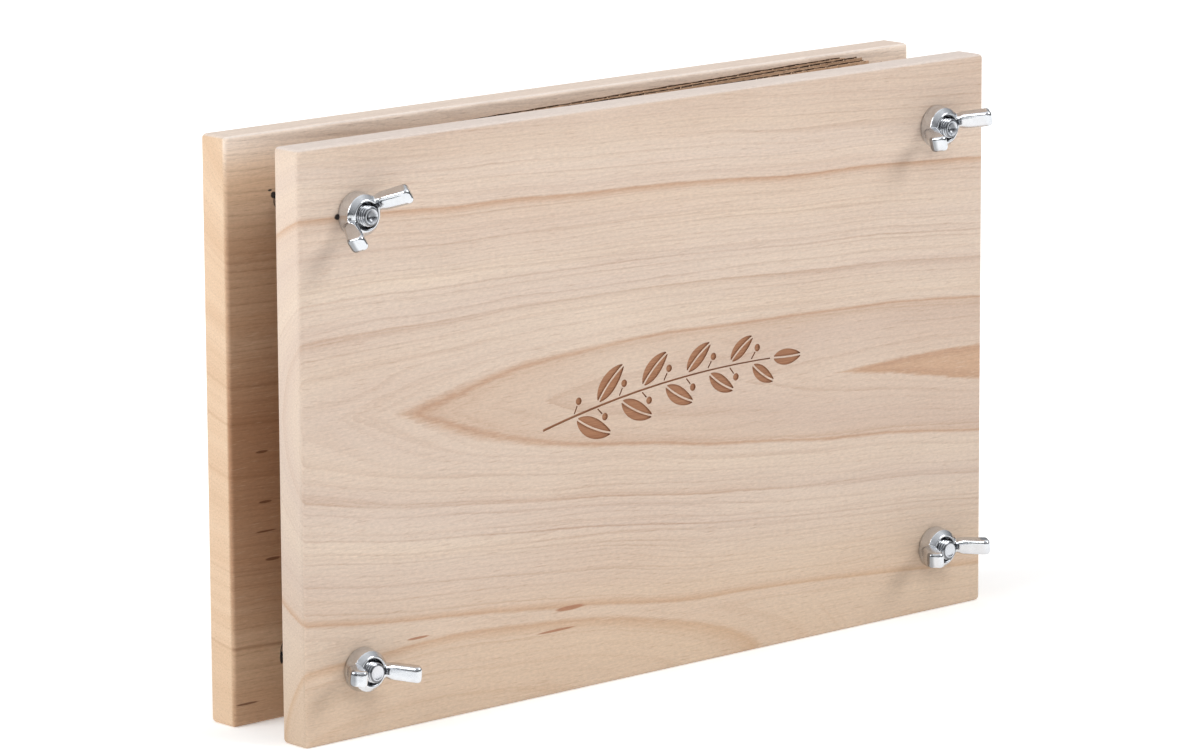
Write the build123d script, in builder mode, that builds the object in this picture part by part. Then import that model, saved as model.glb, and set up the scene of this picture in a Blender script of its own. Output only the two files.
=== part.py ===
import os
from math import cos, radians, sin

from build123d import *

# A flower press standing on its long edge, in millimetres.
# X runs along the boards, Y from the front to the back and Z up from the standing edge.

# Wooden boards
board_width = 275
board_height = 175
board_thickness = 11
board_edge_radius = 0.6

# Carriage bolts, M6: domed head, square neck, plain shank
bolt_inset_from_ends = 21
bolt_inset_from_edges = 20.5
bolt_diameter = 6
bolt_length = 52
bolt_tip_chamfer = 0.5
head_diameter = 16
head_height = 3.9
head_rim = 0.8
neck_width = 6
neck_length = 4.6
front_hole_clearance = 0.3
back_hole_clearance = 0.2

# Wing nuts, cast: a low hub with a shoulder, countersunk, and two fingers leaning out from it
nut_height = 14.4
nut_span = 26
hub_height = 5.5
hub_base_diameter = 13.2
hub_rim = 0.9
hub_shoulder_diameter = 12.2
hub_top_diameter = 9.2
nut_bore_clearance = 0.1
nut_countersink = 1.1
nut_base_chamfer = 0.4
wing_thickness = 3.3
wing_tip_drop = 3.4
wing_tip_run = 2.8
wing_tip_radius = 1.5
wing_edge_radius = 0.9
wing_root_inset = 0.5

# Corrugated cards, with the flutes running up the press
card_count = 6
card_thickness = 2.7
card_to_bolt = 6
card_edge_margin = 5
liner_thickness = 0.3
flute_pitch = 4.9
flute_web = 0.35
flute_end_margin = 1.2

# Blotting papers, a pair behind each card and a little smaller than it
papers_per_card = 2
paper_thickness = 0.4
paper_margin = 3

# How the layers lie: a sliver of air between them, all leaning a little, not quite in line
layer_gap = 0.08
stack_tilt = 1.25
stack_lift = 1.8
stack_scatter = 0.7

# Corners seen from the front, as signs across and up
corner_signs = {
    "upper_left": (-1, 1),
    "upper_right": (1, 1),
    "lower_left": (-1, -1),
    "lower_right": (1, -1),
}
# How far each wing nut was left turned from level, in degrees
nut_tilt = {"upper_left": 34, "upper_right": 16, "lower_left": -6, "lower_right": 3}

# Places worked out from the sizes above
layer_pitch = papers_per_card * (paper_thickness + layer_gap) + card_thickness + layer_gap
pressing_gap = card_count * layer_pitch + layer_gap
overall_depth = nut_height + 2 * board_thickness + pressing_gap + head_height
front_face_y = nut_height - overall_depth / 2
front_inner_y = front_face_y + board_thickness
back_inner_y = front_inner_y + pressing_gap
back_face_y = back_inner_y + board_thickness
middle_z = board_height / 2
bolt_spacing_x = board_width - 2 * bolt_inset_from_ends
bolt_spacing_z = board_height - 2 * bolt_inset_from_edges
bolt_radius = bolt_diameter / 2
card_width = bolt_spacing_x - bolt_diameter - 2 * card_to_bolt
card_height = board_height - 2 * card_edge_margin
forward = Vector(0, -1, 0)
leaning_x = Vector(cos(radians(stack_tilt)), 0, sin(radians(stack_tilt)))
leaning_z = Vector(-sin(radians(stack_tilt)), 0, cos(radians(stack_tilt)))


def facing_front(y):
    """A plane at depth y, with X along the boards, Y up and Z towards the front."""
    return Plane(origin=(0, y, middle_z), x_dir=(1, 0, 0), z_dir=forward)


def through_axis(origin, across):
    """A plane that holds a bolt's axis, with X across the axis and Y towards the front."""
    return Plane(origin=origin, x_dir=across, z_dir=across.cross(forward))


def on_bolt_axis(side, level, y):
    """The point at depth y on the axis of the bolt in one corner."""
    return Vector(side * bolt_spacing_x / 2, y, middle_z + level * bolt_spacing_z / 2)


def save(piece, name):
    piece.part.label = name
    export_step(piece.part, f"parts/{name}.step")


def drilled_board(rear_y, hole_clearance, mortise_depth):
    with BuildPart() as board:
        with BuildSketch(facing_front(rear_y)):
            Rectangle(board_width, board_height)
        extrude(amount=board_thickness)
        fillet(board.edges(), board_edge_radius)
        with BuildSketch(facing_front(rear_y)):
            with GridLocations(bolt_spacing_x, bolt_spacing_z, 2, 2):
                Circle(bolt_radius + hole_clearance)
        extrude(amount=board_thickness, mode=Mode.SUBTRACT)
        if mortise_depth:
            with BuildSketch(facing_front(rear_y)):
                with GridLocations(bolt_spacing_x, bolt_spacing_z, 2, 2):
                    Rectangle(neck_width, neck_width)
            extrude(amount=mortise_depth, mode=Mode.SUBTRACT)
    return board


def carriage_bolt(side, level):
    seat = on_bolt_axis(side, level, back_face_y)
    head_radius = head_diameter / 2
    dome_rise = head_height - head_rim
    dome_radius = (head_radius**2 + dome_rise**2) / (2 * dome_rise)
    with BuildPart() as bolt:
        with BuildSketch(through_axis(seat, Vector(1, 0, 0))):
            with BuildLine():
                dome = RadiusArc((0, -head_height), (head_radius, -head_rim), -dome_radius)
                Polyline(
                    dome @ 1,
                    (head_radius, 0),
                    (bolt_radius, 0),
                    (bolt_radius, bolt_length - bolt_tip_chamfer),
                    (bolt_radius - bolt_tip_chamfer, bolt_length),
                    (0, bolt_length),
                    dome @ 0,
                )
            make_face()
        revolve(axis=Axis(seat, forward))
        with BuildSketch(Plane(origin=seat, x_dir=(1, 0, 0), z_dir=forward)):
            Rectangle(neck_width, neck_width)
        extrude(amount=neck_length)
    return bolt


def wing(profile):
    """One finger of a wing nut, drawn on the plane that holds the nut's axis."""
    upper_root = (hub_top_diameter / 2 - wing_root_inset, hub_height)
    lower_root = (hub_base_diameter / 2 - wing_root_inset, hub_rim)
    outer_corner = (nut_span / 2 - wing_tip_radius, nut_height - wing_tip_drop)
    top_corner = (nut_span / 2 - wing_tip_run, nut_height - wing_tip_radius)
    with BuildPart() as finger:
        with BuildSketch(profile):
            with Locations(outer_corner, top_corner):
                Circle(wing_tip_radius)
            with BuildLine():
                Line(lower_root, upper_root)
            make_hull()
        extrude(amount=wing_thickness / 2, both=True)
        flanks = finger.faces().filter_by(lambda f: abs(f.normal_at().dot(profile.z_dir)) > 0.99)
        fillet(flanks.edges(), wing_edge_radius)
    return finger


def wing_nut(side, level, angle):
    seat = on_bolt_axis(side, level, front_face_y)
    across = Vector(cos(radians(angle)), 0, sin(radians(angle)))
    profile = through_axis(seat, across)
    base_radius = hub_base_diameter / 2
    shoulder_radius = hub_shoulder_diameter / 2
    top_radius = hub_top_diameter / 2
    bore_radius = bolt_radius + nut_bore_clearance
    finger = wing(profile)
    with BuildPart() as nut:
        with BuildSketch(profile):
            with BuildLine():
                Polyline(
                    (0, 0),
                    (base_radius, 0),
                    (base_radius, hub_rim),
                    (shoulder_radius, hub_height - shoulder_radius + top_radius),
                    (top_radius, hub_height),
                    (0, hub_height),
                    close=True,
                )
            make_face()
        revolve(axis=Axis(seat, forward))
        add(finger.part)
        mirror(finger.part, about=Plane(origin=seat, z_dir=across))
        with BuildSketch(profile):
            with BuildLine():
                Polyline(
                    (0, 0),
                    (bore_radius + nut_base_chamfer, 0),
                    (bore_radius, nut_base_chamfer),
                    (bore_radius, hub_height - nut_countersink),
                    (bore_radius + nut_countersink, hub_height),
                    (0, hub_height),
                    close=True,
                )
            make_face()
        revolve(axis=Axis(seat, forward), mode=Mode.SUBTRACT)
    return nut


def layer_foot(height, y, number):
    """The plane on which a layer of this height stands, with its own small offset."""
    middle = Vector(
        stack_scatter * sin(2.4 * number),
        y,
        middle_z + stack_lift + stack_scatter * cos(1.9 * number),
    )
    return Plane(origin=middle - leaning_z * (height / 2), x_dir=leaning_x, z_dir=leaning_z)


def fluted_card(y, number):
    """Two liners with a zigzag web between them, which leaves a row of flutes each way up."""
    flute_height = card_thickness - 2 * liner_thickness
    half_base = flute_pitch / 2 - flute_web
    flute_count = int((card_width - 2 * flute_end_margin) // flute_pitch)
    low = -flute_height / 2
    with BuildPart() as card:
        with BuildSketch(layer_foot(card_height, y, number)):
            Rectangle(card_width, card_thickness)
            with GridLocations(flute_pitch, 0, flute_count, 1):
                Polygon(
                    (-half_base, low), (half_base, low), (0, -low), align=None, mode=Mode.SUBTRACT
                )
            with GridLocations(flute_pitch, 0, flute_count - 1, 1):
                Polygon(
                    (half_base, -low), (-half_base, -low), (0, low), align=None, mode=Mode.SUBTRACT
                )
        extrude(amount=card_height)
    return card


def blotting_paper(y, number):
    paper_height = card_height - 2 * paper_margin
    with BuildPart() as paper:
        with BuildSketch(layer_foot(paper_height, y, number)):
            Rectangle(card_width - 2 * paper_margin, paper_thickness)
        extrude(amount=paper_height)
    return paper


os.makedirs("parts", exist_ok=True)

save(drilled_board(back_face_y, back_hole_clearance, neck_length), "back_board")
save(drilled_board(front_inner_y, front_hole_clearance, 0), "front_board")

for corner, (side, level) in corner_signs.items():
    save(carriage_bolt(side, level), f"bolt_{corner}")
    save(wing_nut(side, level, nut_tilt[corner]), f"wing_nut_{corner}")

# The layers are laid from the back board forward
paper_number = 0
for card_number in range(1, card_count + 1):
    slot_y = back_inner_y - (card_number - 1) * layer_pitch
    for place in range(papers_per_card):
        paper_number += 1
        paper_y = slot_y - place * (paper_thickness + layer_gap) - layer_gap - paper_thickness / 2
        save(blotting_paper(paper_y, paper_number), f"blotting_paper_{paper_number}")
    card_y = slot_y - layer_pitch + card_thickness / 2
    save(fluted_card(card_y, card_number), f"card_{card_number}")

print("pressing gap", round(pressing_gap, 3), "overall depth", round(overall_depth, 3))
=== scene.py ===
import math

import bmesh
import bpy
import numpy as np
from mathutils import Matrix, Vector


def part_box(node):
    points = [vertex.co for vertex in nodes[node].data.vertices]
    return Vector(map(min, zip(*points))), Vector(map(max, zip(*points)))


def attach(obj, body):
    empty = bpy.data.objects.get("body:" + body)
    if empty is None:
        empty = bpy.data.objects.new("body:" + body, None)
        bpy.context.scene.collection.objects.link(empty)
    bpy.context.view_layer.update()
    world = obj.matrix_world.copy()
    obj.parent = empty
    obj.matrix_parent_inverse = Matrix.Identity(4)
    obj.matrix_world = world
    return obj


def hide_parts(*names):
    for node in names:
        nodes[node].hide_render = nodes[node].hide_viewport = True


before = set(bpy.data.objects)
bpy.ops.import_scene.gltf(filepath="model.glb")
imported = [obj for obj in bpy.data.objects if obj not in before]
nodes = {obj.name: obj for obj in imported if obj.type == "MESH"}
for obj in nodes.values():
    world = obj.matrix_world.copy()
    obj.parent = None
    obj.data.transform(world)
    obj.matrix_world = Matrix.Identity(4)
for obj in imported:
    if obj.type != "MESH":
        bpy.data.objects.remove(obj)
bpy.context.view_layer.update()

scene = bpy.context.scene
mm = 0.001
corners = ["upper_left", "upper_right", "lower_left", "lower_right"]
print("frame loaded:", len(nodes), "nodes")


# sRGB bytes to a linear colour: a straight line near black, a 2.4 power above it
def paint(red, green, blue):
    tone = np.array([red, green, blue]) / 255
    linear = np.where(tone < 0.04045, tone / 12.92, ((tone + 0.055) / 1.055) ** 2.4)
    return (*(float(v) for v in linear), 1.0)


# lowest and highest corner of a CAD node, in mm
def boxMm(node):
    low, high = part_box(node)
    return np.array(low) / mm, np.array(high) / mm


# a socket that takes part in sums: each operator adds one Math node
class Term:
    def __init__(self, finish, socket):
        self.finish = finish
        self.socket = socket

    def math(self, operation, *others):
        return self.finish.sum(operation, self, *others)

    def __add__(self, other):
        return self.math("ADD", other)

    def __sub__(self, other):
        return self.math("SUBTRACT", other)

    def __rsub__(self, other):
        return self.finish.sum("SUBTRACT", other, self)

    def __mul__(self, other):
        return self.math("MULTIPLY", other)

    def __truediv__(self, other):
        return self.math("DIVIDE", other)

    def __rtruediv__(self, other):
        return self.finish.sum("DIVIDE", other, self)

    __radd__ = __add__
    __rmul__ = __mul__

    def root(self):
        return self.math("SQRT")

    def size(self):
        return self.math("ABSOLUTE")

    def sine(self):
        return self.math("SINE")

    def part(self):
        return self.math("FRACT")

    def most(self, other):
        return self.math("MAXIMUM", other)

    def least(self, other):
        return self.math("MINIMUM", other)


# one material, and the ways its nodes are added
class Finish:
    def __init__(self, name):
        self.made = bpy.data.materials.new(name)
        self.made.use_nodes = True
        self.tree = self.made.node_tree
        self.tree.nodes.clear()
        self.shader = self.tree.nodes.new("ShaderNodeBsdfPrincipled")
        output = self.tree.nodes.new("ShaderNodeOutputMaterial")
        self.tree.links.new(self.shader.outputs[0], output.inputs[0])

    # a node of this type: settings first, then the sockets' values or links
    def node(self, kind, settings=None, sockets=None, out=0):
        made = self.tree.nodes.new(kind)
        for key, value in (settings or {}).items():
            if key == "stops":
                self.setStops(made.color_ramp.elements, value)
            else:
                setattr(made, key, value)
        self.fill(made, sockets or {})
        if isinstance(out, tuple):
            return tuple(Term(self, made.outputs[k]) for k in out)
        return Term(self, made.outputs[out])

    # all the places first, then the colours, so that no stop takes another's colour
    def setStops(self, ramp, stops):
        while len(ramp) < len(stops):
            ramp.new(0.5)
        for stop, (place, colour) in zip(ramp, stops):
            stop.position = place
        for stop, (place, colour) in zip(ramp, stops):
            stop.color = colour

    def fill(self, made, sockets):
        for key, value in sockets.items():
            if isinstance(value, Term):
                self.tree.links.new(value.socket, made.inputs[key])
            else:
                made.inputs[key].default_value = value

    def sum(self, operation, *values):
        return self.node("ShaderNodeMath", {"operation": operation}, dict(enumerate(values)))

    def show(self, **sockets):
        self.fill(self.shader, {key.replace("_", " "): value for key, value in sockets.items()})
        return self.made

    # the point's place on the part, in mm
    def placeMm(self):
        spot = self.node("ShaderNodeTexCoord", out="Object")
        x, y, z = self.node("ShaderNodeSeparateXYZ", None, {0: spot}, out=(0, 1, 2))
        return x / mm, y / mm, z / mm

    # smooth noise about zero, roughly -0.3 to 0.3
    def noise(self, x, y, z, detail=2.0, rough=0.5):
        spot = self.node("ShaderNodeCombineXYZ", None, {0: x, 1: y, 2: z})
        values = {"Vector": spot, "Scale": 1.0, "Detail": detail, "Roughness": rough}
        return self.node("ShaderNodeTexNoise", None, values, out="Fac") - 0.5

    # 0 at low to 1 at high, eased at both ends
    def step(self, value, low, high):
        settings = {"interpolation_type": "SMOOTHSTEP", "clamp": True}
        return self.node("ShaderNodeMapRange", settings, {0: value, 1: low, 2: high, 3: 0.0, 4: 1.0})

    # two numbers at once from rows of a place and the two numbers there, with straight lines between
    def pair(self, value, span, rows):
        stops = [(place / span, (first, second, 0.0, 1.0)) for place, first, second in rows]
        ramp = self.node("ShaderNodeValToRGB", {"stops": stops}, {0: value / span})
        return self.node("ShaderNodeSeparateColor", None, {0: ramp}, out=(0, 1))

    def mix(self, amount, first, second):
        settings = {"data_type": "RGBA", "clamp_factor": True}
        return self.node("ShaderNodeMix", settings, {0: amount, 6: first, 7: second}, out=2)

    # the colour times a factor
    def shade(self, colour, factor):
        return self.node("ShaderNodeVectorMath", {"operation": "SCALE"}, {0: colour, "Scale": factor})

    def bump(self, height, strength, distanceMm):
        values = {"Strength": strength, "Distance": distanceMm * mm, "Height": height}
        return self.node("ShaderNodeBump", None, values)


# the room's light, made with the same nodes
class Room(Finish):
    def __init__(self, name):
        self.made = bpy.data.worlds.new(name)
        self.made.use_nodes = True
        self.tree = self.made.node_tree
        self.shader = self.tree.nodes["Background"]

    def upward(self):
        way = self.node("ShaderNodeTexCoord", out="Generated")
        return self.node("ShaderNodeSeparateXYZ", None, {0: way}, out=2)


# quads between neighbouring rings of points; the last point of a ring joins its first
def ringQuads(rings, around):
    ring, spot = np.meshgrid(np.arange(rings - 1), np.arange(around), indexing="ij")
    after = (spot + 1) % around
    quads = [ring * around + spot, ring * around + after]
    quads += [(ring + 1) * around + after, (ring + 1) * around + spot]
    return np.stack(quads, axis=-1).reshape(-1, 4).tolist()


# a section carried along a path, from the path of each of its four corners, with a cap at each end
def carrySection(cornerPaths):
    points = np.stack(cornerPaths, axis=1)
    last = 4 * (len(points) - 1)
    caps = [[3, 2, 1, 0], [last, last + 1, last + 2, last + 3]]
    return points.reshape(-1, 3), ringQuads(len(points), 4) + caps


# several shapes as one: each shape's faces count on from the points before it
def joinShapes(shapes):
    points, faces, count = [], [], 0
    for own, quads in shapes:
        points.append(own)
        faces += [[v + count for v in quad] for quad in quads]
        count += len(own)
    return np.concatenate(points), faces


# 0 at low to 1 at high, by 3t^2 - 2t^3 between them
def ease(value, low, high):
    t = np.clip((value - low) / (high - low), 0, 1)
    return t * t * (3 - 2 * t)


# an object made from points in mm and faces
def makeObject(name, points, faces):
    mesh = bpy.data.meshes.new(name)
    mesh.from_pydata((np.asarray(points) * mm).tolist(), [], faces)
    mesh.validate()
    made = bpy.data.objects.new(name, mesh)
    scene.collection.objects.link(made)
    return made


# faces turned to point outwards, doubles merged
def cleanMesh(mesh, merge=1e-6):
    work = bmesh.new()
    work.from_mesh(mesh)
    bmesh.ops.remove_doubles(work, verts=work.verts, dist=merge)
    bmesh.ops.recalc_face_normals(work, faces=work.faces)
    work.to_mesh(mesh)
    work.free()


# a merged copy of a CAD node, whose triangles are loose, without its stored normals
def copyNode(node, name):
    mesh = nodes[node].data.copy()
    mesh.name = name
    mesh.materials.clear()
    if mesh.has_custom_normals:
        mesh.attributes.remove(mesh.attributes["custom_normal"])
    cleanMesh(mesh)
    made = bpy.data.objects.new(name, mesh)
    scene.collection.objects.link(made)
    return made


# the mesh's points in mm, one row each
def readPoints(mesh):
    points = np.empty(len(mesh.vertices) * 3)
    mesh.vertices.foreach_get("co", points)
    return points.reshape(-1, 3) / mm


def writePoints(mesh, points):
    mesh.vertices.foreach_set("co", (points * mm).ravel())
    mesh.update()


# each face's normal or center, one row each
def readFaces(mesh, what):
    rows = np.empty(len(mesh.polygons) * 3)
    mesh.polygons.foreach_get(what, rows)
    return rows.reshape(-1, 3)


# the chosen faces take the mesh's second material
def useSecond(mesh, chosen):
    mesh.polygons.foreach_set("material_index", chosen.astype(np.int32))
    mesh.update()


# smooth faces, with a hard edge where they meet at more than this angle
def smoothByAngle(mesh, degrees):
    mesh.shade_smooth()
    mesh.set_sharp_from_angle(angle=math.radians(degrees))


# the object's modifiers worked into its mesh
def applyModifiers(made):
    graph = bpy.context.evaluated_depsgraph_get()
    mesh = bpy.data.meshes.new_from_object(made.evaluated_get(graph))
    old = made.data
    made.modifiers.clear()
    made.data = mesh
    bpy.data.meshes.remove(old)


# the piece rides on its body and stands for CAD nodes, which are hidden
def place(made, body, slot, *standsFor):
    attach(made, body)
    if standsFor:
        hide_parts(*standsFor)
    return made


# a camera or light added to the scene, from its three axes and its place in mm
def addPlaced(name, data, axisX, axisY, axisZ, placeMm):
    turn = np.eye(4)
    turn[:3, 0], turn[:3, 1], turn[:3, 2] = axisX, axisY, axisZ
    turn[:3, 3] = np.array(placeMm) * mm
    made = bpy.data.objects.new(name, data)
    made.matrix_world = Matrix(turn.tolist())
    scene.collection.objects.link(made)
    return made


# Camera: where the photograph was taken from, worked out from the corners of the boards
view = {
    "place": (-1211.8, -1356.5, 451.8),
    "yaw": -41.58,
    "pitch": 11.3,
    "roll": -0.32,
    "lens": 184.05,
    "sensor": 36,
    "farthest": 50,
}


# axes from yaw about the upright, pitch down, then roll about the line of sight
def setCamera():
    yaw, pitch, roll = (math.radians(view[k]) for k in ("yaw", "pitch", "roll"))
    up = np.array([0.0, 0.0, 1.0])
    right = np.array([math.cos(yaw), math.sin(yaw), 0.0])
    ahead = np.array([-math.sin(yaw), math.cos(yaw), 0.0])
    sight = ahead * math.cos(pitch) - up * math.sin(pitch)
    over = ahead * math.sin(pitch) + up * math.cos(pitch)
    axisX = right * math.cos(roll) + over * math.sin(roll)
    axisY = over * math.cos(roll) - right * math.sin(roll)
    data = bpy.data.cameras.new("camera")
    data.sensor_fit = "HORIZONTAL"
    data.sensor_width = view["sensor"]
    data.lens = view["lens"]
    data.clip_end = view["farthest"]
    scene.camera = addPlaced("camera", data, axisX, axisY, -sight, view["place"])


setCamera()

# Studio: a pale floor, a room that is dark at eye level and light above, and broad soft lights.
# Each light has the way towards it, how wide it looks in degrees, and its strength
studio = {
    "wall": paint(52, 53, 56),
    "ceiling": paint(232, 233, 235),
    "floor": paint(252, 252, 251),
    "floorCloud": paint(249, 249, 248),
    "cloudRate": 0.004,
    "floorGlow": 0.22,
    "floorReach": 9000,
    "lightsAway": 2000,
    "lights": {
        "keyLight": ((0.46, -0.66, 0.6), 30, 1.25),
        "leftLight": ((-0.83, 0.14, 0.54), 40, 1.75),
        "topLight": ((0.1, 0.1, 0.98), 60, 0.2),
    },
}


# a light far off: its own Z points towards where the light comes from
def addLight(name, way, width, strength):
    data = bpy.data.lights.new(name, "SUN")
    data.energy = strength
    data.angle = math.radians(width)
    away = np.array(way, float) / np.linalg.norm(way)
    side = np.cross([0.0, 1.0, 0.1], away)
    side /= np.linalg.norm(side)
    addPlaced(name, data, side, np.cross(away, side), away, away * studio["lightsAway"])


# the room goes from the wall's tone to the ceiling's with the upward share of the direction
def setStudio():
    scene.view_settings.view_transform = "Standard"
    room = Room("room")
    scene.world = room.show(Color=room.mix(room.upward().most(0.0), studio["wall"], studio["ceiling"]))
    for name, light in studio["lights"].items():
        addLight(name, *light)
    reach = studio["floorReach"]
    rim = [(-reach, -reach, 0), (reach, -reach, 0), (reach, reach, 0), (-reach, reach, 0)]
    floor = makeObject("floor", rim, [(0, 1, 2, 3)])
    paper = Finish("floor_paper")
    x, y = paper.placeMm()[:2]
    cloud = paper.noise(x * studio["cloudRate"], y * studio["cloudRate"], 0.0)
    tone = paper.mix(cloud + 0.5, studio["floor"], studio["floorCloud"])
    paper.show(Emission_Color=studio["floor"], Emission_Strength=studio["floorGlow"])
    floor.data.materials.append(paper.show(Base_Color=tone, Roughness=0.9, Specular_IOR_Level=0.0))


setStudio()
print("camera and studio set")

# Wood: rings about piths that run along the board, cut by the faces.
# Distances in mm: along from the left end, depth from the front face, height from the foot.
# A pith has a height, its fall along the board, its depth before the face, how it rises to the face,
# a curve away from it about a crest, added radius, a crease that points the tips of the rings,
# and more of that near the pith's own height.
# Each ring stop is radius, darkness and warmth; a ring darkens slowly and ends sharply.
# A streak of resin or a spot of painted shade beside a bolt is its place along and up, its length and its
# width.
frontLow, frontHigh = boxMm("front_board")
backLow, backHigh = boxMm("back_board")
boardHeight = float(backHigh[2] - backLow[2])
frontGrain = {
    "leftEnd": frontLow[0],
    "face": frontLow[1],
    "piths": [
        {
            "height": 95.6, "fall": 0.067, "deep": 30.35, "rise": 0.086,
            "curve": 0.0001, "crest": 0.0, "added": 0.0, "crease": 2.0, "point": 3.6,
        },
        {
            "height": -5.0, "fall": 0.0, "deep": 29.5, "rise": 0.0,
            "curve": 0.0007, "crest": 50.0, "added": 27.0, "crease": 0.0, "point": 0.0,
        },
    ],
    "sway": 6,
    "span": 100,
    "fineRing": 3.3,
    "rings": [
        (0, 0.04, 0.1), (12.8, 0.08, 0.6), (15.2, 0.16, 1),
        (16.95, 0.28, 1), (17.25, 0.7, 1), (17.4, 0.15, 0.1),
        (25.5, 0.32, 0.12), (27.1, 0.36, 0.3), (27.45, 0.82, 1), (27.65, 0.85, 1), (27.78, 0.14, 0),
        (37.6, 0.14, 0), (39.1, 0.35, 0.05), (39.4, 0.8, 0.1), (39.55, 0.06, 0),
        (47.1, 0.06, 0), (47.4, 1, 0), (47.55, 0.03, 0),
        (51.2, 0.1, 0), (51.5, 0.5, 0), (51.65, 0.1, 0),
        (58.2, 0.12, 0.05), (58.7, 0.45, 0.1), (58.85, 0.1, 0.05),
        (66.5, 0.14, 0.15), (68.2, 0.4, 0.8), (68.6, 0.7, 1), (68.8, 0.02, 0.1),
        (78.5, 0.02, 0), (78.8, 0.3, 0), (79, 0.02, 0), (84.9, 0.3, 0),
    ],
    "resin": [(101.6, 25.6, 12, 1.5), (42.5, 26.2, 9, 0.8), (96, 19.6, 16, 0.8)],
    # a spot of painted shadow at the foot of the upper left nut
    "shadeSpots": [(14.6, 154.3, 2.8, 1.9)],
    "pale": paint(224, 205, 186),
    "pink": paint(211, 191, 177),
    "warm": paint(205, 167, 136),
    "line": paint(172, 132, 105),
    "resinTone": paint(170, 118, 86),
    "level": 0.925,
    "foot": (0.45, paint(220, 190, 155)),
    "paintedEndShade": 0.12,
    "paintedFalloff": 0.0007,
}
# the back board's inside face takes painted shade, browner at some heights, and painted light, paler at the
# top:
# each row of it is height, share of the painted shade tone and share of the painted light tone
backGrain = {
    "leftEnd": backLow[0],
    "face": backLow[1],
    "piths": [
        {
            "height": 195.0, "fall": 0.03, "deep": 26.0, "rise": 0.03,
            "curve": 0.0, "crest": 0.0, "added": 0.0, "crease": 0.0, "point": 0.0,
        },
    ],
    "sway": 5,
    "span": 200,
    "fineRing": 4.1,
    "rings": [
        (0, 0.1, 0.3), (35, 0.1, 0.2), (36, 0.02, 0),
        (62.1, 0.1, 0.1), (62.8, 0.6, 0.3), (63.1, 0.05, 0),
        (97, 0.1, 0.1), (97.5, 0.7, 0.3), (97.8, 0.05, 0),
        (108.1, 0.1, 0.1), (108.6, 0.55, 0.3), (108.9, 0.05, 0),
        (123.2, 0.1, 0.1), (123.8, 0.65, 0.3), (124.1, 0.05, 0),
        (132, 0.1, 0), (132.6, 0.6, 0.2), (132.9, 0.05, 0),
        (150.6, 0.05, 0.1), (151.2, 0.9, 0.3), (151.5, 0.05, 0),
        (173, 0.05, 0), (173.5, 0.95, 0.3), (173.8, 0.05, 0),
        (189.8, 0.05, 0), (190.3, 0.95, 0.3), (190.6, 0.05, 0), (200, 0.05, 0),
    ],
    "resin": [(12, 81, 5, 0.9), (13, 66, 5, 0.9), (15.5, 48.6, 6, 1.1), (13, 57.2, 8, 0.6), (5, 6.6, 9, 0.7)],
    # spots of painted shade where the shaded bolts show in the gap
    "shadeSpots": [(17.9, 156.2, 2.2, 2.1), (16.6, 157.7, 1.6, 0.6), (18.2, 18.5, 1.5, 4.4)],
    "pale": paint(226, 199, 170),
    "pink": paint(210, 176, 143),
    "warm": paint(198, 153, 115),
    "line": paint(132, 92, 62),
    "resinTone": paint(112, 72, 44),
    "level": 0.98,
    "paintedShade": paint(160, 104, 62),
    "paintedLight": paint(252, 234, 217),
    "inside": [
        (0, 0.5, 0), (5, 0.5, 0), (12, 0.35, 0), (20, 0.2, 0), (30, 0.38, 0), (42, 0.55, 0), (60, 0.64, 0),
        (80, 0.7, 0), (92, 0.72, 0), (102, 0.54, 0), (112, 0.38, 0), (140, 0.38, 0), (150, 0.27, 0),
        (160, 0.12, 0), (166, 0, 0.25), (170, 0, 0.65), (173, 0, 1),
    ],
    "foot": (0.15, paint(214, 178, 138)),
    "paintedEndShade": 0.05,
    "paintedFalloff": 0.0003,
}
# noises drawn out along the board: rate along, rate across, offset, detail and roughness
woodStreaks = {
    "wander": (0.02, 0.05, 0.0, 2.0, 0.5),
    "ragged": (0.16, 1.1, 0.0, 3.0, 0.6),
    "patch": (0.012, 0.03, 7.0, 2.0, 0.5),
    "fibre": (0.03, 2.4, 0.0, 3.0, 0.6),
    "hair": (0.16, 2.3, 20.0, 2.0, 0.5),
    "fleck": (0.6, 1.7, 9.0, 3.0, 0.7),
}
# what both boards share: ranges in mm, and shares of a tone
woodLook = {
    "tips": 16.0,
    "meeting": 4.0,
    "raggedBy": 0.7,
    "endGrain": (0.15, 0.5),
    "insideFace": (0.4, 1.2),
    "footReach": (2.0, 50.0),
    "endReach": (20.0, 160.0),
    "paintedFalloffFrom": 70,
    "lateLine": 0.8,
    "fineLine": 0.45,
    "finestLine": 0.35,
    "hairLine": (0.08, 0.25, 0.34),
    "hairPale": (-0.08, -0.25, 0.3),
    "resin": 0.9,
    # share and dark tone of the painted shade spots
    "shadeSpot": (1.0, paint(38, 26, 18)),
    "paintedTopHighlight": (174.2, 174.7, 0.5, paint(226, 220, 216)),
}


# distance from the nearest pith's line, with slow bends and ragged fibres
def ringRadius(finish, grain, along, depth, z, streaks):
    bend = finish.noise(along * 0.011, depth * 0.02, z * 0.016, detail=1.0)
    radius = None
    for pith in grain["piths"]:
        offset = along - pith["crest"]
        up = (z - pith["height"] + along * pith["fall"] + bend * grain["sway"]).size()
        up = up + (1 - finish.step(up, 0.0, woodLook["tips"])) * pith["point"] + pith["crease"]
        inward = depth + pith["deep"] - along * pith["rise"] + offset * offset * pith["curve"]
        own = (up * up + inward * inward).root() + pith["added"]
        radius = own if radius is None else finish.sum("SMOOTH_MIN", radius, own, woodLook["meeting"])
    return radius + streaks["wander"] + streaks["ragged"] * woodLook["raggedBy"]
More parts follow.
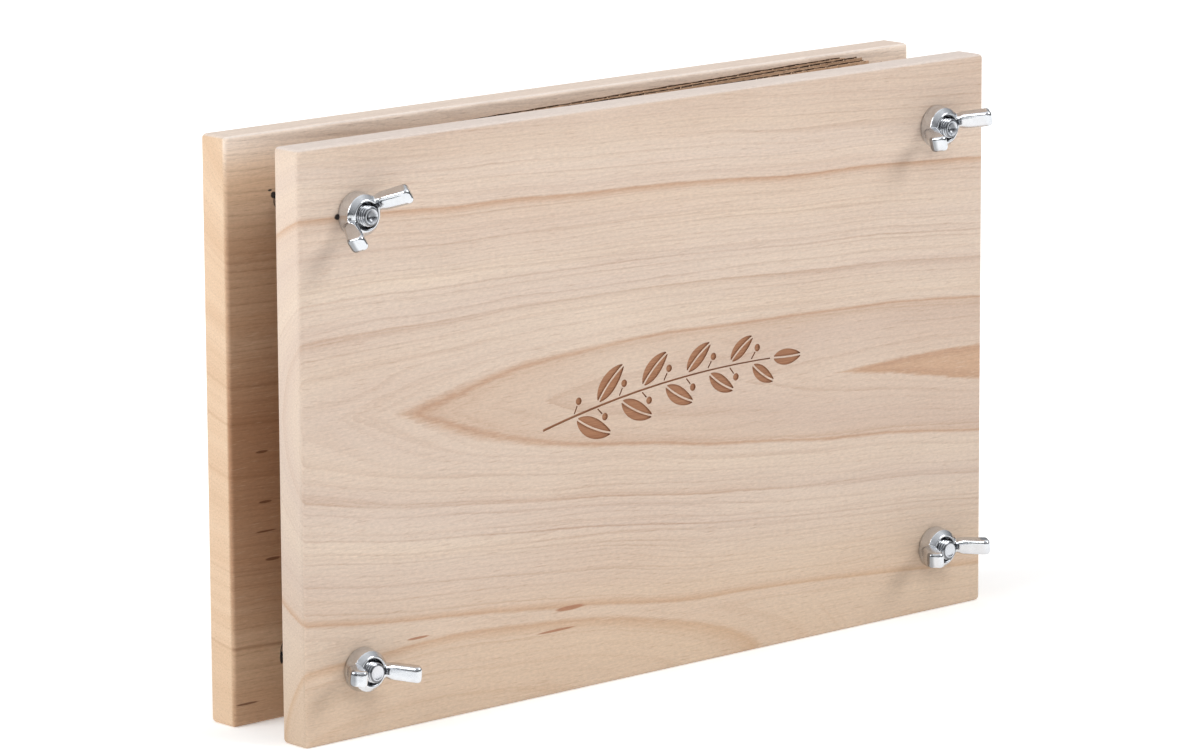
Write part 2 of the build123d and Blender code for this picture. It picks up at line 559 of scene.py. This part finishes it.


# resin streaks and spots of painted shade beside the bolts: an oval about each place, with its edge broken by
# the fibres
def addMarks(finish, grain, tone, along, depth, z, fibre):
    spotShare, spotTone = woodLook["shadeSpot"]
    marks = [(*mark, woodLook["resin"], grain["resinTone"]) for mark in grain["resin"]]
    marks += [(*mark, spotShare, spotTone) for mark in grain["shadeSpots"]]
    for centreX, centreZ, length, width, share, dark in marks:
        across = (z - centreZ) / (width / 2)
        ahead = (along - centreX) / (length / 2)
        spot = across * across + ahead * ahead + fibre * 0.8 + depth * 0.4
        tone = finish.mix((1 - finish.step(spot, 0.5, 1.2)) * share, tone, dark)
    return tone


# the ring stops read over the radius, then finer rings as the fraction of radius over their width,
# fibres, hairs and flecks drawn out along the board, and a height for the bump from the same noises
def growWood(finish, grain):
    look = woodLook
    x, y, z = finish.placeMm()
    along = x - grain["leftEnd"]
    depth = y - grain["face"]
    streaks = {
        kind: finish.noise(along * length, z * across, depth * across + start, detail, rough)
        for kind, (length, across, start, detail, rough) in woodStreaks.items()
    }
    patch, fibre, hair, fleck = (streaks[kind] for kind in ("patch", "fibre", "hair", "fleck"))
    radius = ringRadius(finish, grain, along, depth, z, streaks)
    late, warmth = finish.pair(radius, grain["span"], grain["rings"])
    end = 1 - finish.step(along, *look["endGrain"])
    late = late * (1 - end * 0.6)
    faint = 1 - end * 0.7

    band = finish.noise(along * 0.004, radius * 0.11, 3.0, detail=3.0)
    pace = radius / grain["fineRing"] + band * 2.5
    fine = finish.step(pace.part(), 0.72, 1.0)
    finest = finish.step((pace * 2.7 + patch * 3.0).part(), 0.6, 1.0)
    lateStrength = (patch * 1.4 + 0.9).most(0.2)
    fineStrength = finish.noise(along * 0.006, radius * 0.3, 11.0, detail=1.0) * 1.6 + 0.4
    finestStrength = patch * 1.2 + 0.35

    tone = finish.mix(band * 2.0 + 0.42, grain["pale"], grain["pink"])
    tone = finish.mix(warmth * 0.9 + patch * 0.25, tone, grain["warm"])
    # painted shade and painted light on the back board's inside face, by height
    if "inside" in grain:
        paintedShade, paintedLight = finish.pair(z, boardHeight, grain["inside"])
        face = 1 - finish.step(depth, *look["insideFace"])
        tone = finish.mix(paintedShade * face, tone, grain["paintedShade"])
        tone = finish.mix(paintedLight * face, tone, grain["paintedLight"])
    tone = finish.mix(late * lateStrength * look["lateLine"], tone, grain["line"])
    tone = finish.mix(fine * fineStrength.most(0.0) * faint * look["fineLine"], tone, grain["line"])
    tone = finish.mix(finest * finestStrength.most(0.0) * faint * look["finestLine"], tone, grain["line"])
    footShare, footTone = grain["foot"]
    tone = finish.mix((1 - finish.step(z, *look["footReach"])) * footShare, tone, footTone)
    for key, hairTone in (("hairLine", grain["line"]), ("hairPale", grain["pale"])):
        start, full, share = look[key]
        tone = finish.mix(finish.step(hair, start, full) * share, tone, hairTone)
    tone = addMarks(finish, grain, tone, along, depth, z, fibre)
    # painted highlight: a paler band along the top edge
    start, full, share, highlightTone = look["paintedTopHighlight"]
    tone = finish.mix(finish.step(z, start, full) * share, tone, highlightTone)

    # painted shade: the board's ends darker towards the foot
    low = end * (1 - finish.step(z, *look["endReach"])) * grain["paintedEndShade"]
    # painted shade: each board darker towards the bottom and lighter towards the top
    paintedFalloff = (z - look["paintedFalloffFrom"]) * grain["paintedFalloff"]
    tone = finish.shade(tone, fibre * 0.22 + fleck * 0.42 + paintedFalloff - low + grain["level"])
    height = fibre * 0.6 + hair * 0.6 + fleck * 0.5 - late * 0.2
    return {"tone": tone, "fibre": fibre, "height": height}


# sanded wood: a little rougher along the fibres
def boardFinish(name, grain):
    finish = Finish(name)
    wood = growWood(finish, grain)
    normal = finish.bump(wood["height"], 0.35, 0.12)
    return finish.show(Base_Color=wood["tone"], Roughness=wood["fibre"] * 0.25 + 0.62, Normal=normal)


burnt = {"dark": paint(138, 82, 46), "light": paint(172, 119, 79), "share": 0.88}


# the same grain scorched by the cutter: darker along the fibres
def burntFinish(name, grain):
    finish = Finish(name)
    wood = growWood(finish, grain)
    char = finish.mix(wood["fibre"] * 2.0 + 0.45, burnt["dark"], burnt["light"])
    tone = finish.mix(burnt["share"], wood["tone"], char)
    return finish.show(Base_Color=tone, Roughness=0.8, Normal=finish.bump(wood["height"], 0.6, 0.15))


frontWood = boardFinish("front_wood", frontGrain)
backWood = boardFinish("back_wood", backGrain)
burntWood = burntFinish("burnt_wood", frontGrain)
print("wood made")

# Boards: their edges sanded round. The board is cut at loops beside the line where the round begins,
# counted outwards from that line in radii
sanded = {"radius": 1.4, "loops": (-0.25, 0.0, 0.27), "hardAngle": 30}


# cut along the loops, then each point beyond the inner box goes to the round about it
def sandEdges(made, low, high):
    radius = sanded["radius"]
    work = bmesh.new()
    work.from_mesh(made.data)
    for axis in range(3):
        for end, side in ((low, -1), (high, 1)):
            for loop in sanded["loops"]:
                point, normal = np.zeros(3), np.zeros(3)
                point[axis] = (end[axis] - side * radius * (1 - loop)) * mm
                normal[axis] = side
                every = work.verts[:] + work.edges[:] + work.faces[:]
                bmesh.ops.bisect_plane(work, geom=every, dist=1e-7, plane_co=point, plane_no=normal)
    work.to_mesh(made.data)
    work.free()
    points = readPoints(made.data)
    inner = np.clip(points, low + radius, high - radius)
    out = points - inner
    far = np.linalg.norm(out, axis=1, keepdims=True)
    bent = ((np.abs(out) > 1e-4).sum(axis=1) > 1)[:, None]
    writePoints(made.data, np.where(bent, inner + out * radius / np.maximum(far, 1e-6), points))


backBoard = copyNode("back_board", "back_board_sanded")
sandEdges(backBoard, backLow, backHigh)
smoothByAngle(backBoard.data, sanded["hardAngle"])
backBoard.data.materials.append(backWood)
place(backBoard, "back", "board_wood", "back_board")

# Sprig cut into the middle of the front board, in mm from the sprig's centre.
# A pair is from the foot of the stem to its tip; leafWidth is half a leaf at the length of fullLeaf
sprig = {
    "centre": (0.0, 87.5),
    "reach": (64.4, 30),
    "depth": 0.45,
    "proud": 1.0,
    "stemLength": 92,
    "stemWidth": (0.75, 0.4),
    "stemArch": (-6.5, 21.0, -11.5),
    "leaves": 9,
    "firstLeaf": 0.13,
    "leafSpread": 0.78,
    "leafLength": (15.5, 10.0),
    "fullLeaf": 15,
    "leafWidth": 2.9,
    "leastWidth": 0.06,
    "leafAngle": 46,
    "leafBend": 22,
    "leafGap": 1.5,
    "vein": 0.28,
    "tipLeaf": {"gap": 1.2, "angle": -6, "length": 11.5, "bend": 8},
    "berry": 1.15,
    "berryGap": 0.35,
    "berryLean": 1.15,
    "stalk": (0.9, 3.4),
    "stalkHalf": 0.22,
}


# a unit step at this angle in degrees
def heading(degrees):
    return np.array([math.cos(math.radians(degrees)), math.sin(math.radians(degrees))])


# a pocket cutter: a four-cornered section from offset a to offset b beside a path, carried along it
def pocketCutter(path, a, b):
    way = np.gradient(path, axis=0)
    way /= np.linalg.norm(way, axis=1, keepdims=True)
    beside = np.stack([-way[:, 1], way[:, 0]], axis=1)
    inner = path + beside * a[:, None]
    outer = path + beside * b[:, None]
    front = frontLow[1] - sprig["proud"]
    floor = frontLow[1] + sprig["depth"]
    rim = [(inner, front), (outer, front), (outer, floor), (inner, floor)]
    level = np.ones(len(path))
    return carrySection([np.stack([side[:, 0], level * y, side[:, 1]], axis=1) for side, y in rim])


# the stem: an arch that rises and flattens, its height a + bt + ct^2 over its length
def stemPoint(t):
    a, b, c = sprig["stemArch"]
    return np.stack([(t - 0.5) * sprig["stemLength"], a + b * t + c * t * t], axis=-1)


# a leaf: its rib bends back towards the stem; half its width is a power of 4t(1-t), fuller near the foot
def leafCutters(foot, angle, length, bend):
    t = np.linspace(0.015, 0.985, 26)
    turn = math.radians(angle) + math.radians(bend) * t
    rib = foot + np.cumsum(np.stack([np.cos(turn), np.sin(turn)], axis=1), axis=0) * length / len(t)
    half = sprig["leafWidth"] * length / sprig["fullLeaf"] * (4 * t * (1 - t)) ** 0.8 * (1.12 - 0.3 * t)
    vein = np.full(len(t), sprig["vein"])
    edge = vein + half + sprig["leastWidth"]
    return [pocketCutter(rib, vein, edge), pocketCutter(rib, -edge, -vein)]


# a berry on a short stalk: half its width is the root of r^2 - s^2
def berryCutters(foot, angle):
    way = heading(angle)
    start, stop = sprig["stalk"]
    r = sprig["berry"]
    s = np.linspace(-0.985, 0.985, 19) * r
    half = np.sqrt(r * r - s * s)
    middle = foot + way * (stop + r + sprig["berryGap"])
    line = np.linspace(start, stop, 4)
    thin = np.full(len(line), sprig["stalkHalf"])
    return [
        pocketCutter(middle + s[:, None] * way, -half, half),
        pocketCutter(foot + line[:, None] * way, -thin, thin),
    ]


# leaves by turns on either side of the stem, a berry opposite each, and one leaf at the tip
def cutSprig(board):
    t = np.linspace(0, 1, 60)
    width = np.interp(t, [0, 1], sprig["stemWidth"]) / 2
    cuts = [pocketCutter(stemPoint(t), -width, width)]
    for k in range(sprig["leaves"]):
        t = sprig["firstLeaf"] + sprig["leafSpread"] * k / (sprig["leaves"] - 1)
        foot = stemPoint(np.array(t))
        ahead = stemPoint(np.array(t + 0.01)) - foot
        lean = math.degrees(math.atan2(ahead[1], ahead[0]))
        side = 1 if k % 2 else -1
        length = np.interp(t, [0, 1], sprig["leafLength"])
        stand = side * sprig["leafAngle"]
        leafFoot = foot + heading(lean + stand) * sprig["leafGap"]
        cuts += leafCutters(leafFoot, lean + stand, length, -side * sprig["leafBend"])
        cuts += berryCutters(foot, lean - stand * sprig["berryLean"])
    tip = sprig["tipLeaf"]
    tipFoot = stemPoint(np.array(1.0)) + np.array([tip["gap"], 0.0])
    cuts += leafCutters(tipFoot, tip["angle"], tip["length"], tip["bend"])
    points, faces = joinShapes(cuts)
    centreX, centreZ = sprig["centre"]
    cutter = makeObject("sprig_cutter", points + np.array([centreX, 0, centreZ]), faces)
    cleanMesh(cutter.data)
    carve = board.modifiers.new("carve", "BOOLEAN")
    carve.operation = "DIFFERENCE"
    carve.solver = "EXACT"
    carve.object = cutter
    applyModifiers(board)
    bpy.data.objects.remove(cutter)


# faces of the pockets: behind the front face by more than a hair and within the sprig's reach
def burnPockets(board):
    middle = readFaces(board.data, "center") / mm
    deep = middle[:, 1] - frontLow[1]
    away = np.abs(middle[:, [0, 2]] - np.array(sprig["centre"]))
    within = (away < np.array(sprig["reach"])).all(axis=1)
    chosen = (deep > 0.02) & (deep < sprig["depth"] + 0.05) & within
    useSecond(board.data, chosen)
    return int(chosen.sum())


frontBoard = copyNode("front_board", "front_board_cut")
sandEdges(frontBoard, frontLow, frontHigh)
cutSprig(frontBoard)
frontBoard.data.materials.clear()
frontBoard.data.materials.append(frontWood)
frontBoard.data.materials.append(burntWood)
smoothByAngle(frontBoard.data, sanded["hardAngle"])
pocketFaces = burnPockets(frontBoard)
place(frontBoard, "front", "board_wood", "front_board")
print("boards made,", pocketFaces, "faces in the sprig")

# Wing nuts: the cast form with its corners run together, bright plating with painted shade in the recesses.
# The fingers are made fuller above a height, beyond a reach from the axis and within a half thickness.
# A painted dark ring is its distance from the bolt's axis, how wide that ring is, and how dark: painted shade
# in recesses, painted reflection on the finger tips
nutForm = {
    "voxel": 0.2,
    "rounds": 6,
    "softness": 0.5,
    "axisX": 116.5,
    "middleZ": 87.5,
    "axisZ": 67.0,
    "fuller": 0.45,
    "height": (2.0, 5.0),
    "reach": (4.0, 6.0),
    "half": (1.7, 3.4),
}
nutPlate = {
    "tone": paint(215, 218, 222),
    "paintedDark": paint(50, 52, 56),
    "rough": (0.1, 0.24),
    "grain": 0.5,
    "bump": 0.06,
    # painted shade in the countersink; a painted dark reflection on the finger tips' ends
    "paintedRings": [(3.6, 0.9, 0.85), (13.0, 1.0, 0.55)],
}
boltPlate = {
    "tone": paint(208, 211, 216),
    "paintedDark": paint(52, 54, 58),
    "rough": (0.16, 0.32),
    "grain": 0.3,
    "bump": 0.04,
    # painted shade in the thread grooves and at the bevel of the tip
    "paintedRings": [(2.5, 0.42, 0.75)],
}
# the upper bolts' copy adds a painted dark reflection in the dished end
dishedPlate = {**boltPlate, "paintedRings": [(2.5, 0.42, 0.75), (0.9, 1.1, 0.7)]}


# distance from the nearest bolt's axis: the four axes mirror each other across the middle of the board
def fromAxis(x, z):
    across = x.size() - nutForm["axisX"]
    up = (z - nutForm["middleZ"]).size() - nutForm["axisZ"]
    return (across * across + up * up).root()


# plated metal: cloudy and gritty, darkened in rings about the axis in front of the back board by painted
# shade and painted reflection
def plateFinish(name, plate):
    finish = Finish(name)
    x, y, z = finish.placeMm()
    grain = plate["grain"]
    cloud = finish.noise(x * 0.35, y * 0.35, z * 0.35, detail=3.0)
    grit = finish.noise(x / grain, y / grain, z / grain, detail=2.0)
    radius = fromAxis(x, z) + cloud * 0.3
    ahead = 1 - finish.step(y, backLow[1], backHigh[1])
    tone = plate["tone"]
    for middle, width, share in plate["paintedRings"]:
        ring = 1 - finish.step((radius - middle).size(), width * 0.4, width)
        tone = finish.mix(ring * ahead * share, tone, plate["paintedDark"])
    low, high = plate["rough"]
    rough = (cloud * 1.6 + 0.5).least(1.0).most(0.0) * (high - low) + low
    tone = finish.shade(tone, cloud * 0.25 + grit * 0.08 + 1.0)
    normal = finish.bump(cloud * 0.8 + grit * 0.25, 0.5, plate["bump"])
    return finish.show(Base_Color=tone, Metallic=1.0, Roughness=rough, Normal=normal)


nutZinc = plateFinish("nut_plating", nutPlate)


# each point of a finger moves away from the plane of the fingers, by a share of its distance from it;
# that plane holds the longest axis of the nut as seen along its bolt
def fillFingers(nut):
    points = readPoints(nut.data)
    centre = np.array([np.sign(points[:, 0].mean()) * nutForm["axisX"], nutForm["middleZ"]])
    centre[1] += np.sign(points[:, 2].mean() - nutForm["middleZ"]) * nutForm["axisZ"]
    flat = points[:, [0, 2]] - centre
    axes = np.linalg.eigh(flat.T @ flat)[1]
    across, along = (flat @ axes).T
    share = ease(frontLow[1] - points[:, 1], *nutForm["height"]) * ease(np.abs(along), *nutForm["reach"])
    share *= 1 - ease(np.abs(across), *nutForm["half"])
    points[:, [0, 2]] += (across * share * nutForm["fuller"])[:, None] * axes[:, 0]
    writePoints(nut.data, points)


# a voxel skin over the solid, then a few rounds of smoothing that run its corners into fillets
def castNut(corner):
    nut = copyNode(f"wing_nut_{corner}", f"wing_nut_{corner}_cast")
    skin = nut.modifiers.new("skin", "REMESH")
    skin.mode = "VOXEL"
    skin.voxel_size = nutForm["voxel"] * mm
    soft = nut.modifiers.new("soft", "SMOOTH")
    soft.factor = nutForm["softness"]
    soft.iterations = nutForm["rounds"]
    applyModifiers(nut)
    fillFingers(nut)
    nut.data.shade_smooth()
    nut.data.materials.append(nutZinc)
    return place(nut, f"nut_{corner}", "nut_zinc", f"wing_nut_{corner}")


for corner in corners:
    castNut(corner)
print("nuts made")

# Bolts: domed head, square neck, shank and a rolled thread, turned about the bolt's axis
boltForm = {
    "radius": 3.0,
    "headRadius": 8.0,
    "headRim": 0.8,
    "rimEase": 0.2,
    "neckLength": 4.6,
    "neckHalf": 3.0,
    "neckCorner": 1.36,
    "neckFade": 0.5,
    "threadLength": 24.0,
    "threadEntry": 2.0,
    "pitch": 1.0,
    "threadDepth": 0.56,
    "grooveSlope": 1.25,
    "crest": 0.14,
    "tipBevel": 0.5,
    "dish": {"upper_left": 1.1, "upper_right": 1.2, "lower_left": 0.2, "lower_right": 0.2},
    "dishRim": 0.5,
    "dishCurve": 0.7,
    "around": 64,
    "rowsPerTurn": 12,
    "hardAngle": 38,
}
boltZinc = {
    "lower": plateFinish("bolt_plating", boltPlate),
    "upper": plateFinish("dished_bolt_plating", dishedPlate),
}


# head: a circle's arc for the dome, then the rim and the flat under it, as radius over distance
def boltHead(seat):
    form = boltForm
    rise = seat - form["headRim"]
    dome = (form["headRadius"] ** 2 + rise**2) / (2 * rise)
    sweep = np.linspace(0.004, 1, 22) * math.asin(form["headRadius"] / dome)
    eased = form["rimEase"]
    rim = form["headRadius"] - np.array([0.0, 0.0, eased])
    under = np.linspace(form["headRadius"] - 2 * eased, form["neckHalf"] * 1.4, 4)
    distance = [dome - dome * np.cos(sweep), [rise + 0.25, seat - eased, seat], np.full(len(under), seat)]
    return np.concatenate(distance), np.concatenate([dome * np.sin(sweep), rim, under])[:, None]


# neck: half its width over the greater of sine and cosine, with its corners cut, running into the shank
def boltNeck(seat, angle):
    form = boltForm
    square = form["neckHalf"] / np.maximum(np.abs(np.cos(angle)), np.abs(np.sin(angle)))
    square = np.minimum(square, form["neckHalf"] * form["neckCorner"])
    distance = seat + np.array([0.02, form["neckLength"] - form["neckFade"], form["neckLength"]])
    return distance, np.stack([square, square, (square + form["radius"]) / 2])


# thread: a triangle wave of distance over pitch less the angle's share of a turn, then the bevel at the tip
def boltThread(length, angle):
    form = boltForm
    distance = np.arange(length - form["threadLength"], length, form["pitch"] / form["rowsPerTurn"])[1:]
    turn = (distance[:, None] / form["pitch"] - angle / (2 * math.pi)) % 1.0
    groove = np.clip(form["grooveSlope"] * (1 - np.abs(2 * turn - 1)) - form["crest"], 0, 1)
    entry = np.clip((distance - distance[0]) / form["threadEntry"], 0, 1)[:, None]
    bevel = form["radius"] - form["tipBevel"] + (length - distance)[:, None]
    return distance, np.minimum(form["radius"] - form["threadDepth"] * groove * entry, bevel)


# end: flat at its rim, dished inside it by a power of 1 - r^2
def boltEnd(length, dish):
    form = boltForm
    radius = np.linspace(form["radius"] - form["tipBevel"] - 0.06, 0.02, 14)
    inside = np.clip(1 - (radius / (radius[0] - form["dishRim"])) ** 2, 0, 1)
    return length - dish * inside ** form["dishCurve"], radius[:, None]


# rows of radius over angle and distance from the head's top, turned about the axis
def turnBolt(corner):
    node = f"bolt_{corner}"
    low, high = boxMm(node)
    axisX, axisZ = (low[0] + high[0]) / 2, (low[2] + high[2]) / 2
    length = high[1] - low[1]
    seat = high[1] - backHigh[1]
    around = boltForm["around"]
    angle = np.arange(around) * 2 * math.pi / around
    shank = np.linspace(seat + boltForm["neckLength"] + 0.05, length - boltForm["threadLength"], 6)
    rows = [boltHead(seat), boltNeck(seat, angle), (shank, np.full((len(shank), 1), boltForm["radius"]))]
    rows += [boltThread(length, angle), boltEnd(length, boltForm["dish"][corner])]
    radius = np.concatenate([r + 0 * angle for _, r in rows])
    distance = np.concatenate([s for s, _ in rows])[:, None] + 0 * angle
    points = [axisX + radius * np.cos(angle), high[1] - distance, axisZ + radius * np.sin(angle)]
    faces = ringQuads(len(radius), around)
    faces.append(list(range(around)))
    faces.append([(len(radius) - 1) * around + k for k in reversed(range(around))])
    bolt = makeObject(f"{node}_turned", np.stack(points, axis=-1).reshape(-1, 3), faces)
    cleanMesh(bolt.data, 1e-7)
    smoothByAngle(bolt.data, boltForm["hardAngle"])
    bolt.data.materials.append(boltZinc[corner.split("_")[0]])
    return place(bolt, "back", "bolt_zinc", node)


for corner in corners:
    turnBolt(corner)
print("bolts made")

# Corrugated cards: two liners with a wave between them, leaning as the stack does
cardForm = {
    "count": 6,
    "width": 215,
    "height": 165,
    "thickness": 2.7,
    "lean": 1.25,
    "liner": 0.3,
    "linerPoints": 140,
    "web": 0.3,
    "webInset": 0.4,
    "webSunk": 0.25,
    "pitch": 4.9,
    "phase": 0.9,
    "pointsPerFlute": 16,
    "rag": 0.28,
    "stock": 0.2,
    "hardAngle": 40,
    "darkSpeck": paint(104, 74, 52),
    "paleSpeck": paint(214, 190, 164),
    "darkFibre": paint(112, 82, 58),
    "paleFibre": paint(202, 174, 146),
}
paperForm = {
    "count": 12,
    "tones": (paint(226, 214, 194), paint(210, 194, 170)),
    "felt": paint(170, 146, 116),
}


# brown card: cloudy, with flecks and fibres, the flutes showing as a sine across the liners,
# and a darker and a paler stock by turns, as a sine from front to back
def kraftFinish(name, light, dark):
    finish = Finish(name)
    x, y, z = finish.placeMm()
    cloud = finish.noise(x * 0.05, y * 0.3, z * 0.05, detail=3.0)
    fibre = finish.noise(x * 0.5, y * 3.0, z * 2.6, detail=3.0, rough=0.65)
    speck = finish.noise(x * 0.7, y * 1.8, z * 1.1, detail=3.0, rough=0.7)
    tone = finish.mix(cloud * 1.6 + 0.5, light, dark)
    tone = finish.mix(finish.step(speck, 0.04, 0.18) * 0.6, tone, cardForm["darkSpeck"])
    tone = finish.mix(finish.step(speck, -0.08, -0.2) * 0.5, tone, cardForm["paleSpeck"])
    tone = finish.mix(finish.step(fibre, 0.12, 0.28) * 0.5, tone, cardForm["darkFibre"])
    tone = finish.mix(finish.step(fibre, -0.12, -0.28) * 0.4, tone, cardForm["paleFibre"])
    lean = math.tan(math.radians(cardForm["lean"]))
    flute = ((x + z * lean) * (2 * math.pi / cardForm["pitch"])).sine()
    first, second = (sum(boxMm(f"card_{number}"))[1] / 2 for number in (1, 2))
    stock = ((y - first) * (math.pi / (first - second)) + math.pi / 2).sine()
    tone = finish.shade(tone, flute * 0.035 - stock * cardForm["stock"] + 1.0)
    normal = finish.bump(fibre * 0.6 + flute * 0.35, 0.4, 0.12)
    return finish.show(Base_Color=tone, Roughness=0.85 + fibre * 0.2, Normal=normal)


# blotting paper: off-white felted fibres
def blotterFinish(name):
    finish = Finish(name)
    x, y, z = finish.placeMm()
    cloud = finish.noise(x * 0.08, y * 2.0, z * 0.08, detail=3.0)
    felt = finish.noise(x * 1.6, y * 4.0, z * 1.6, detail=4.0, rough=0.65)
    tone = finish.mix(cloud * 1.5 + 0.5, *paperForm["tones"])
    tone = finish.mix(finish.step(felt, 0.14, 0.3) * 0.35, tone, paperForm["felt"])
    return finish.show(Base_Color=tone, Roughness=0.92 + felt * 0.1, Normal=finish.bump(felt, 0.4, 0.06))


kraft = kraftFinish("kraft_card", paint(215, 180, 148), paint(187, 150, 118))
# painted shade for the flutes' insides: the same card, much darker
fluteShade = kraftFinish("flute_shade_card", paint(86, 57, 39), paint(60, 39, 27))
blotter = blotterFinish("blotting_felt")


# a smooth ragged line: a few sines of the distance across with phases of their own
def raggedEdge(s, seed):
    rates = np.array([0.11, 0.37, 0.83, 1.9, 4.3])
    sizes = np.array([0.4, 0.3, 0.25, 0.2, 0.15])
    phases = seed * np.array([1.7, 2.9, 0.6, 4.1, 3.3])
    return (np.sin(s[:, None] * rates + phases) * sizes).sum(axis=1)


# a strip with its middle at y over s and a height that varies: a four-cornered section carried across
def strip(s, y, thick, foot, top):
    half = thick / 2
    sides = [(y - half, foot), (y + half, foot), (y + half, top), (y - half, top)]
    return carrySection([np.stack([s, depth, height], axis=1) for depth, height in sides])


# liners at either side and a sine wave for the web, with ragged ends, then turned by the lean
def makeCard(number):
    node = f"card_{number}"
    form = cardForm
    middle = sum(boxMm(node)) / 2
    half, reach = form["width"] / 2, form["height"] / 2
    linerY = form["thickness"] / 2 - form["liner"] / 2
    innerY = linerY - form["liner"] / 2
    plain = np.linspace(-half, half, form["linerPoints"])
    webHalf = half - form["webInset"]
    fluted = np.linspace(-webHalf, webHalf, int(form["width"] / form["pitch"] * form["pointsPerFlute"]))
    wave = np.sin(2 * math.pi * fluted / form["pitch"] + form["phase"] * number)
    layers = [(plain, np.full(len(plain), side * linerY), form["liner"], 0.0) for side in (-1, 1)]
    layers.append((fluted, (innerY - form["web"] / 2) * wave, form["web"], form["webSunk"]))
    strips = []
    for k, (s, y, thick, sunk) in enumerate(layers):
        inset = form["rag"] * (1 + raggedEdge(s, number + 0.37 * k)) / 2 + sunk
        strips.append(strip(s, y, thick, inset - reach, reach - inset))
    points, faces = joinShapes(strips)
    across, depth, up = points.T
    lean = math.radians(form["lean"])
    x = middle[0] + across * math.cos(lean) - up * math.sin(lean)
    z = middle[2] + across * math.sin(lean) + up * math.cos(lean)
    card = makeObject(f"{node}_fluted", np.stack([x, middle[1] + depth, z], axis=1), faces)
    cleanMesh(card.data, 1e-7)
    smoothByAngle(card.data, form["hardAngle"])
    card.data.materials.append(kraft)
    card.data.materials.append(fluteShade)
    # the web and the liners' inner faces, inside the flutes, take the painted shade
    upright = np.abs(readFaces(card.data, "normal")[:, 2]) < 0.7
    inside = np.abs(readFaces(card.data, "center")[:, 1] / mm - middle[1]) < innerY + 0.01
    useSecond(card.data, upright & inside)
    return place(card, node, "card_kraft", node)


for number in range(1, cardForm["count"] + 1):
    makeCard(number)
for number in range(1, paperForm["count"] + 1):
    sheet = nodes[f"blotting_paper_{number}"]
    sheet.data.materials.clear()
    sheet.data.materials.append(blotter)
print("layers made")
